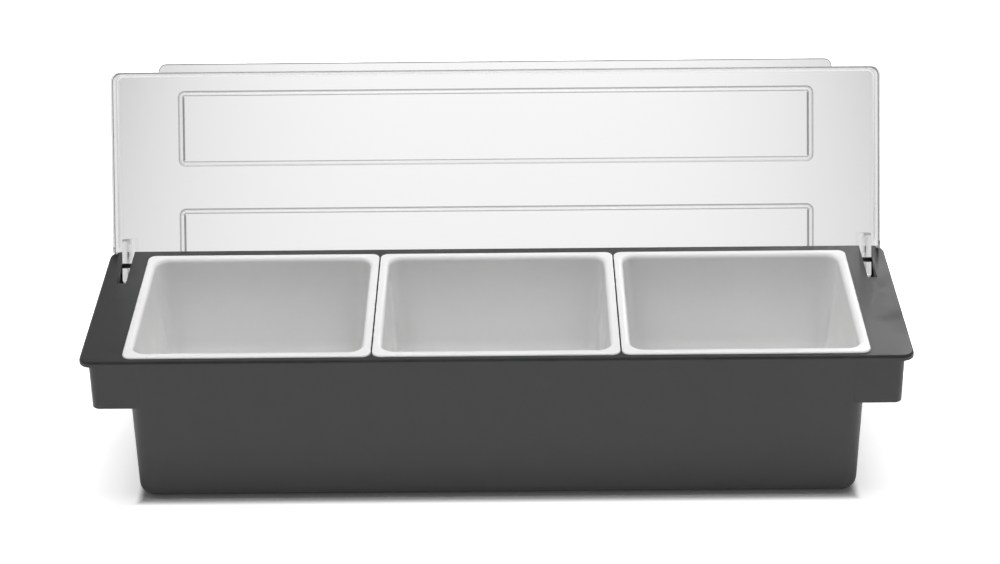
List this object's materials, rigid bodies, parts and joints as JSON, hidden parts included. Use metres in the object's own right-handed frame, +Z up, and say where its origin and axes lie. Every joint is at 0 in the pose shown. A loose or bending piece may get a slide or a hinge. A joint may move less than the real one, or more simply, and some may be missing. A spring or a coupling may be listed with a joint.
{
  "type": "condiment caddy",
  "caption": "Countertop condiment caddy: deep dark tub for ice, white lift-out pans hung from its flange, and one clear full-width lid that flips up on hinge arms clipped over moulded pins.",
  "frame": {"origin": "centre of the tub's flat underside, on the table", "axes": "+X to the right along the caddy's length, +Y towards the hinge side at the back, +Z up"},
  "size_m": [0.5, 0.1974, 0.2153],
  "materials": {
    "charcoal_plastic": "fine satin moulded plastic, dark charcoal",
    "white_plastic": "glossy moulded plastic, white",
    "clear_plastic": "clear polished plastic"
  },
  "bodies": {
    "base": {"base": "charcoal_plastic"},
    "pan_left": {"pan_left": "white_plastic"},
    "pan_middle": {"pan_middle": "white_plastic"},
    "pan_right": {"pan_right": "white_plastic"},
    "lid": {"lid": "clear_plastic"}
  },
  "joints": [
    {"name": "lid_hinge", "type": "hinge", "parent": "base", "child": "lid", "pos_m": [0, 0.0571, 0.1001], "axis": [1, 0, 0], "range_deg": [0, 116]},
    {"name": "pan_left_lift", "type": "slide", "parent": "base", "child": "pan_left", "axis": [0, 0, 1], "range_m": [0, 0.1]},
    {"name": "pan_middle_lift", "type": "slide", "parent": "base", "child": "pan_middle", "axis": [0, 0, 1], "range_m": [0, 0.1]},
    {"name": "pan_right_lift", "type": "slide", "parent": "base", "child": "pan_right", "axis": [0, 0, 1], "range_m": [0, 0.1]}
  ]
}
